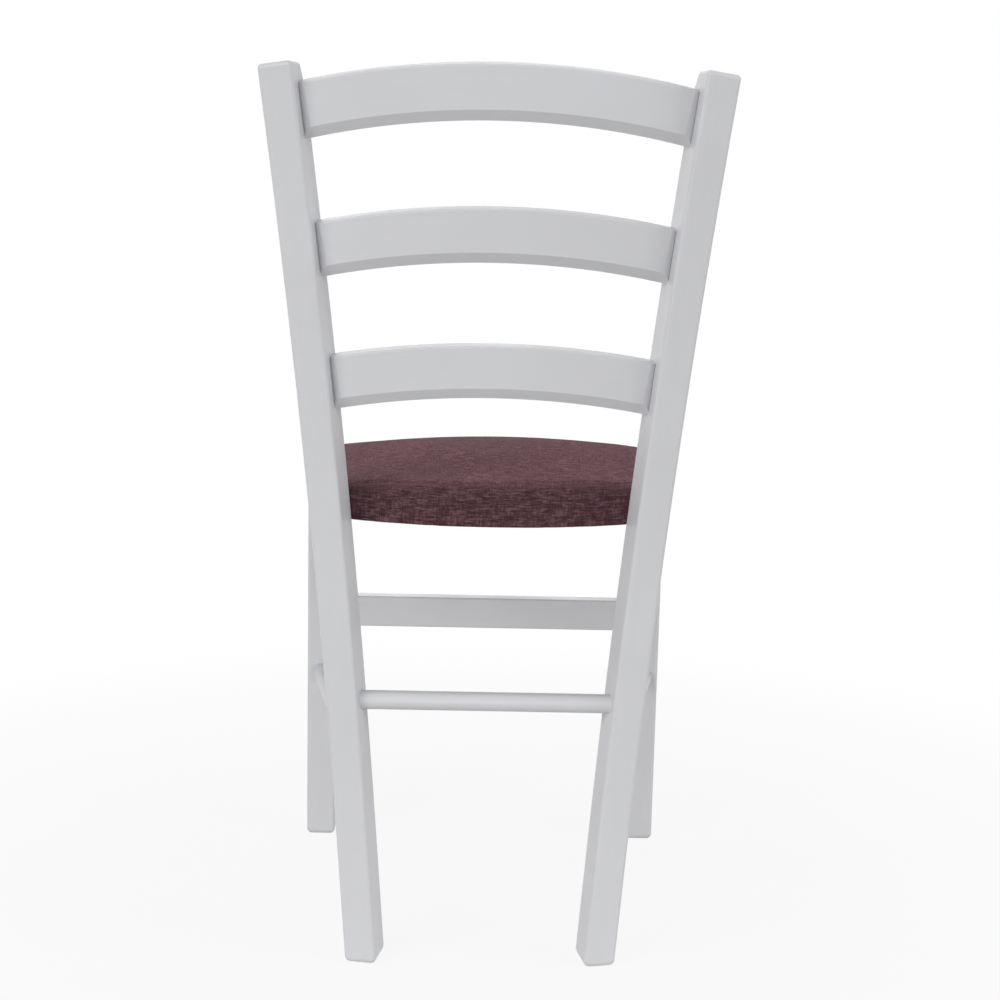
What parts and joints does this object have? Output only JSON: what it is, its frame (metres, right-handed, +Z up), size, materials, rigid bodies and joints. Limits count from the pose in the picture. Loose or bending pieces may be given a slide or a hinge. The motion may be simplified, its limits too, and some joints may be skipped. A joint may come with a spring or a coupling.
{
  "type": "upholstered dining chair",
  "caption": "Ladder-back dining chair in white lacquered wood, with splayed swept posts, bent arched slats and a crowned seat pad covered in plum woven fabric.",
  "frame": {"origin": "on the floor, below the middle of the chair's bounding box", "axes": "+Z up; the chair faces -Y, so +Y is its back; +X is the sitter's left"},
  "size_m": [0.4314, 0.4746, 0.8849],
  "materials": {
    "white_lacquer": "white satin lacquer",
    "raw_beech": "planed, unfinished beech",
    "plywood": "sanded plywood",
    "foam": "open-cell upholstery foam",
    "plum_fabric": "plum woven upholstery fabric",
    "zinc_steel": "zinc-plated steel"
  },
  "bodies": {
    "root": {"rear_post_left": "white_lacquer", "rear_post_right": "white_lacquer", "top_slat": "white_lacquer", "middle_slat": "white_lacquer", "lower_slat": "white_lacquer", "front_leg_left": "white_lacquer", "front_leg_right": "white_lacquer", "front_stretcher": "white_lacquer", "rear_rung": "white_lacquer", "side_rung_left": "white_lacquer", "side_rung_right": "white_lacquer", "front_apron": "white_lacquer", "side_apron_left": "white_lacquer", "side_apron_right": "white_lacquer", "corner_block_left": "raw_beech", "corner_block_right": "raw_beech", "rear_cleat_left": "raw_beech", "rear_cleat_right": "raw_beech", "frame_screws": "zinc_steel", "pad_screws": "zinc_steel", "staples": "zinc_steel", "seat_board": "plywood", "seat_foam": "foam", "seat_cover": "plum_fabric"}
  },
  "joints": []
}
